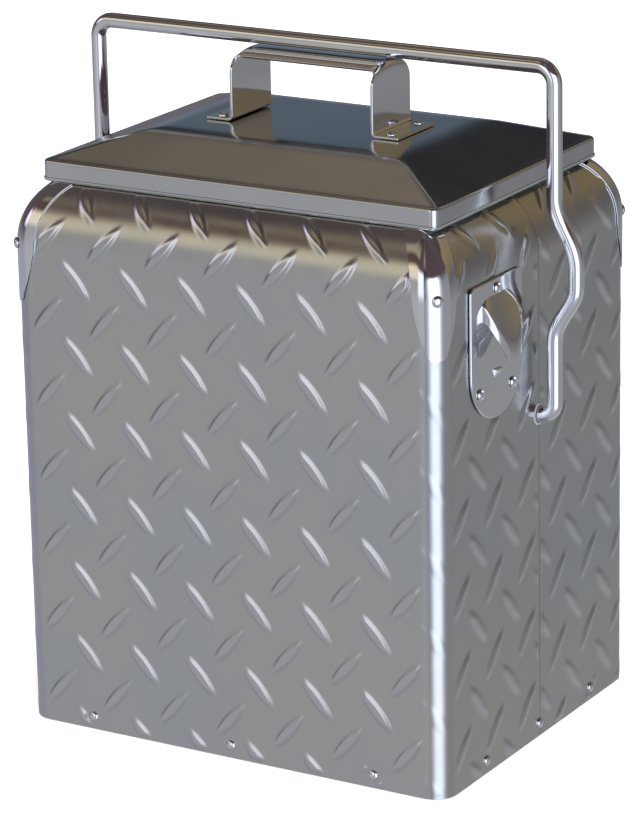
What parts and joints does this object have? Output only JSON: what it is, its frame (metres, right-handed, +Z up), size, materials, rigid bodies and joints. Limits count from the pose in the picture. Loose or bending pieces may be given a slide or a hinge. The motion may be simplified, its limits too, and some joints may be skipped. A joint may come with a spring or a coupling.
{
  "type": "cooler chest",
  "caption": "Insulated picnic cooler chest with riveted tread-plate steel walls, pressed corner caps, lift-off lid under a strap bracket, swinging bail handle and bottle opener.",
  "frame": {"origin": "bottom centre of the chest, on the surface that it stands on", "axes": "+X to the right along the front face, where the bottle opener is; +Y to the back; +Z up"},
  "size_m": [0.3356, 0.2298, 0.3998],
  "materials": {
    "tread_steel": "polished stainless tread plate",
    "lid_steel": "smooth polished stainless sheet",
    "chrome": "bright chrome plating",
    "galvanised": "dull zinc-coated sheet",
    "liner_plastic": "pale moulded plastic",
    "foam": "rigid insulation foam",
    "rubber": "soft black seal",
    "nylon": "black nylon"
  },
  "bodies": {
    "chest": {"base_pan": "galvanised", "base_rivet_01": "chrome", "base_rivet_02": "chrome", "base_rivet_03": "chrome", "base_rivet_04": "chrome", "base_rivet_05": "chrome", "base_rivet_06": "chrome", "base_rivet_07": "chrome", "base_rivet_08": "chrome", "base_rivet_09": "chrome", "base_rivet_10": "chrome", "base_rivet_11": "chrome", "base_rivet_12": "chrome", "cap_rivet_front_left": "chrome", "cap_rivet_front_right": "chrome", "cap_rivet_rear_left": "chrome", "cap_rivet_rear_right": "chrome", "corner_cap_front_left": "chrome", "corner_cap_front_right": "chrome", "corner_cap_rear_left": "chrome", "corner_cap_rear_right": "chrome", "foam_insulation": "foam", "front_shell": "tread_steel", "liner": "liner_plastic", "opener_plate": "chrome", "opener_screw_1": "chrome", "opener_screw_2": "chrome", "opener_screw_3": "chrome", "pivot_bush_left": "nylon", "pivot_bush_right": "nylon", "rear_shell": "tread_steel", "seam_strip_left": "galvanised", "seam_strip_right": "galvanised"},
    "lid": {"bracket_rivet_front_left": "chrome", "bracket_rivet_front_right": "chrome", "bracket_rivet_rear_left": "chrome", "bracket_rivet_rear_right": "chrome", "lid_bracket": "chrome", "lid_foam": "foam", "lid_gasket": "rubber", "lid_inner": "liner_plastic", "lid_outer": "lid_steel"},
    "bail": {"bail_clip_left": "galvanised", "bail_clip_right": "galvanised", "bail_handle": "chrome"}
  },
  "joints": [
    {"name": "bail_swing", "type": "hinge", "parent": "chest", "child": "bail", "pos_m": [0, 0, 0.195], "axis": [1, 0, 0], "range_deg": [0, 143]},
    {"name": "lid_lift", "type": "slide", "parent": "chest", "child": "lid", "axis": [0, 0, 1], "range_m": [0, 0.08]}
  ],
  "couplings": [
    {"joint": "lid_lift", "follows": "bail_swing", "m_per_rad": 0.032}
  ]
}
